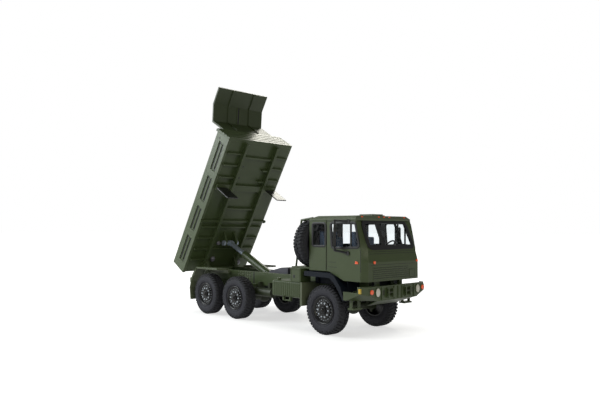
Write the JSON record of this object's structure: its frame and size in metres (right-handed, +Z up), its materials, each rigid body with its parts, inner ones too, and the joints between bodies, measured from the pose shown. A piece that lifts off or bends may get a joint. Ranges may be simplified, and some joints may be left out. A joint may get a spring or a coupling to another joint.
{
  "type": "dump truck toy model",
  "caption": "Small die-cast model of a military dump truck with a cab over the front axle, a tipping body raised on its hoist and wheels that roll.",
  "frame": {"origin": "middle of the bounding box, on the ground the wheels stand on", "axes": "+X towards the front of the truck, +Y to its left, +Z up"},
  "size_m": [0.1214, 0.04, 0.1051],
  "materials": {
    "olive_paint": "satin",
    "black_plastic": "matte",
    "blue_black_plastic": "matte",
    "tyre_rubber": "matte",
    "rim_black": "semi-gloss",
    "bright_metal": "polished",
    "clear_glazing": "clear",
    "lamp_lens": "glossy"
  },
  "bodies": {
    "chassis": {"front_axle_housing": "black_plastic", "front_knuckles": "black_plastic", "middle_axle_housing": "black_plastic", "rear_axle_housing": "black_plastic", "leaf_springs": "black_plastic", "frame_rails": "olive_paint", "rear_tow_plate": "olive_paint", "hoist_mount": "olive_paint", "engine_block": "black_plastic", "gearbox": "black_plastic", "drive_shafts": "black_plastic", "front_bumper": "olive_paint", "skid_plate": "olive_paint", "cab_steps": "olive_paint", "front_fenders": "blue_black_plastic", "cab_rear_wall": "olive_paint", "cab_floor": "olive_paint", "cab_sides": "olive_paint", "right_door": "olive_paint", "left_door": "olive_paint", "windshield_frame": "olive_paint", "cab_front_panel": "olive_paint", "cab_glass": "clear_glazing", "cab_roof": "olive_paint", "seats": "black_plastic", "dashboard": "black_plastic", "steering_wheel": "black_plastic", "door_mirrors": "black_plastic", "fuel_tank": "olive_paint", "battery_box": "olive_paint", "air_tanks": "olive_paint", "splash_panels": "olive_paint", "side_cabinets": "olive_paint", "rear_platform": "olive_paint", "spare_tyre": "tyre_rubber", "spare_rim": "rim_black", "spare_carrier": "olive_paint", "rear_mudguards": "olive_paint"},
    "front_wheels": {"front_tyres": "tyre_rubber", "front_axle_and_rims": "rim_black"},
    "middle_wheels": {"middle_tyres": "tyre_rubber", "middle_axle_and_rims": "rim_black"},
    "rear_wheels": {"rear_tyres": "tyre_rubber", "rear_axle_and_rims": "rim_black"},
    "bed": {"bed_floor": "olive_paint", "bed_left_wall": "olive_paint", "bed_right_wall": "olive_paint", "bed_headboard": "olive_paint", "cab_guard": "olive_paint", "bed_subframe": "olive_paint", "mud_flaps": "blue_black_plastic"},
    "tailgate": {"tailgate": "olive_paint"},
    "hoist_cylinder": {"hoist_barrel": "olive_paint"},
    "hoist_piston": {"hoist_rod": "bright_metal"}
  },
  "joints": [
    {"name": "bed_tip", "type": "hinge", "parent": "chassis", "child": "bed", "pos_m": [-0.04704, 0, 0.01955], "axis": [0, 1, 0], "range_deg": [0, 59.5]},
    {"name": "tailgate_swing", "type": "hinge", "parent": "bed", "child": "tailgate", "pos_m": [-0.05943, 0, 0.02337], "axis": [0, 1, 0], "range_deg": [0, 60]},
    {"name": "hoist_pivot", "type": "hinge", "parent": "chassis", "child": "hoist_cylinder", "pos_m": [-0.00894, 0, 0.0178], "axis": [0, 1, 0], "range_deg": [-20.11, 0.5]},
    {"name": "hoist_extend", "type": "slide", "parent": "hoist_cylinder", "child": "hoist_piston", "axis": [-0.9068, 0, 0.4216], "range_m": [-0.01093, 0.0003]},
    {"name": "front_wheels_roll", "type": "hinge", "parent": "chassis", "child": "front_wheels", "pos_m": [0.03906, 0, 0.00921], "axis": [0, 1, 0], "continuous": true},
    {"name": "middle_wheels_roll", "type": "hinge", "parent": "chassis", "child": "middle_wheels", "pos_m": [-0.01434, 0, 0.00921], "axis": [0, 1, 0], "continuous": true},
    {"name": "rear_wheels_roll", "type": "hinge", "parent": "chassis", "child": "rear_wheels", "pos_m": [-0.03594, 0, 0.00921], "axis": [0, 1, 0], "continuous": true}
  ],
  "couplings": [
    {"joint": "hoist_pivot", "follows": "bed_tip", "ratio": -0.32956},
    {"joint": "hoist_extend", "follows": "bed_tip", "m_per_rad": -0.010232}
  ]
}
